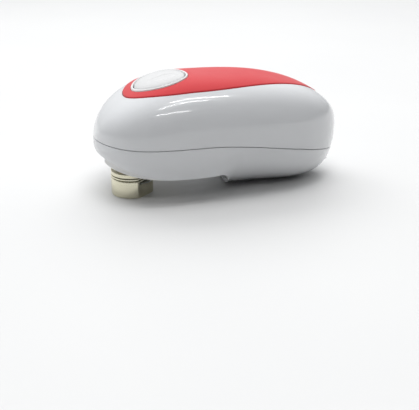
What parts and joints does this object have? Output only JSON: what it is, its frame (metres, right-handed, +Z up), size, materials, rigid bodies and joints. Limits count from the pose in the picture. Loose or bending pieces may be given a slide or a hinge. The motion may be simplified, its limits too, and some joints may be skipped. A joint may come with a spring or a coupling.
{
  "type": "electric can opener",
  "caption": "hands-free battery can opener: rounded shell with coloured top panel and oval button, cutter drum and drive wheel under the head",
  "frame": {"origin": "centre of the bounding box's bottom, on the surface the opener stands on", "axes": "+X toward the battery end (tail), -X toward the cutting head, +Z up, -Y the side nearer the cutter drum"},
  "size_m": [0.1526, 0.078, 0.0695],
  "materials": {
    "shell_white": "moulded, high gloss",
    "panel_red": "moulded, satin gloss",
    "trim_white": "moulded, high gloss",
    "cover_white": "moulded, fine matte",
    "button_white": "moulded, high gloss",
    "screw_steel": "zinc plated",
    "spring_steel": "nickel plated spring steel",
    "black_plastic": "moulded",
    "dark_plastic": "moulded",
    "red_plastic": "moulded",
    "plate_steel": "stamped",
    "brass": "turned",
    "bright_steel": "hardened, ground",
    "motor_steel": "drawn, zinc plated",
    "gear_plastic": "acetal",
    "nickel": "nickel plated",
    "cell_wrap": "printed wrap, plain",
    "wire_red": "insulated",
    "wire_black": "insulated",
    "wire_white": "insulated",
    "wire_blue": "insulated"
  },
  "bodies": {
    "housing": {"upper_shell": "shell_white", "lower_shell": "shell_white", "top_panel": "panel_red", "button_bezel": "trim_white", "head_cover": "cover_white", "shell_screws": "screw_steel", "button_spring": "spring_steel", "start_switch": "black_plastic", "lower_plate": "plate_steel", "upper_plate": "plate_steel", "plate_posts": "brass", "plate_screws": "screw_steel", "gear_pins": "bright_steel", "motor_can": "motor_steel", "motor_end": "black_plastic", "motor_screws": "screw_steel", "drive_bush": "brass", "drum_bush": "brass", "limit_switch": "black_plastic", "magnet_cup": "dark_plastic", "lid_magnet": "nickel", "cell_a": "cell_wrap", "cell_b": "cell_wrap", "cell_cradle": "cover_white", "cell_springs": "spring_steel", "cell_contacts": "spring_steel", "wire_red": "wire_red", "wire_black": "wire_black", "wire_white": "wire_white", "wire_blue": "wire_blue"},
    "button": {"button_cap": "button_white"},
    "start_plunger": {"switch_plunger": "red_plastic"},
    "door": {"battery_door": "shell_white"},
    "drum": {"cutter_drum": "nickel", "drum_ring_low": "nickel", "drum_ring_top": "nickel", "drum_shaft": "bright_steel", "drum_washer": "gear_plastic", "drum_cam": "gear_plastic", "cutter_axle": "bright_steel"},
    "cutter": {"cutter_wheel": "bright_steel"},
    "drive": {"drive_gear": "bright_steel", "drive_shaft": "bright_steel", "drive_wheel": "bright_steel"},
    "gear_three": {"gear_3": "gear_plastic"},
    "gear_two": {"gear_2": "gear_plastic"},
    "gear_one": {"gear_1": "gear_plastic"},
    "rotor": {"motor_rotor": "brass"}
  },
  "joints": [
    {"name": "button_press", "type": "slide", "parent": "housing", "child": "button", "axis": [0, 0, -1], "range_m": [0, 0.0015], "stiffness_N_per_m": 900, "springref_m": -0.001, "deforming": ["button_spring"]},
    {"name": "plunger_press", "type": "slide", "parent": "housing", "child": "start_plunger", "axis": [0, 0, -1], "range_m": [0, 0.0015], "stiffness_N_per_m": 100, "springref_m": -0.0005},
    {"name": "door_hinge", "type": "hinge", "parent": "housing", "child": "door", "pos_m": [0.063, 0, 0], "axis": [0, -1, 0], "range_deg": [0, 95]},
    {"name": "drum_swing", "type": "hinge", "parent": "housing", "child": "drum", "pos_m": [-0.05613, -0.0033, 0.02], "axis": [0, 0, 1], "range_deg": [0, 140]},
    {"name": "cutter_spin", "type": "hinge", "parent": "drum", "child": "cutter", "pos_m": [-0.05116, -0.01036, 0.0087], "axis": [0, 0, 1], "continuous": true},
    {"name": "drive_spin", "type": "hinge", "parent": "housing", "child": "drive", "pos_m": [-0.0554, 0.01705, 0.01], "axis": [0, 0, 1], "continuous": true},
    {"name": "gear_three_spin", "type": "hinge", "parent": "housing", "child": "gear_three", "pos_m": [-0.04319, 0.01083, 0.044], "axis": [0, 0, 1], "continuous": true},
    {"name": "gear_two_spin", "type": "hinge", "parent": "housing", "child": "gear_two", "pos_m": [-0.02996, 0.00157, 0.044], "axis": [0, 0, 1], "continuous": true},
    {"name": "gear_one_spin", "type": "hinge", "parent": "housing", "child": "gear_one", "pos_m": [-0.01722, -0.00769, 0.044], "axis": [0, 0, 1], "continuous": true},
    {"name": "rotor_spin", "type": "hinge", "parent": "housing", "child": "rotor", "pos_m": [-0.0023, -0.00506, 0.03], "axis": [0, 0, 1], "continuous": true}
  ],
  "couplings": [
    {"joint": "plunger_press", "follows": "button_press", "ratio": 1},
    {"joint": "gear_three_spin", "follows": "drive_spin", "ratio": -2},
    {"joint": "gear_two_spin", "follows": "drive_spin", "ratio": 6},
    {"joint": "gear_one_spin", "follows": "drive_spin", "ratio": -20},
    {"joint": "rotor_spin", "follows": "drive_spin", "ratio": 80}
  ]
}
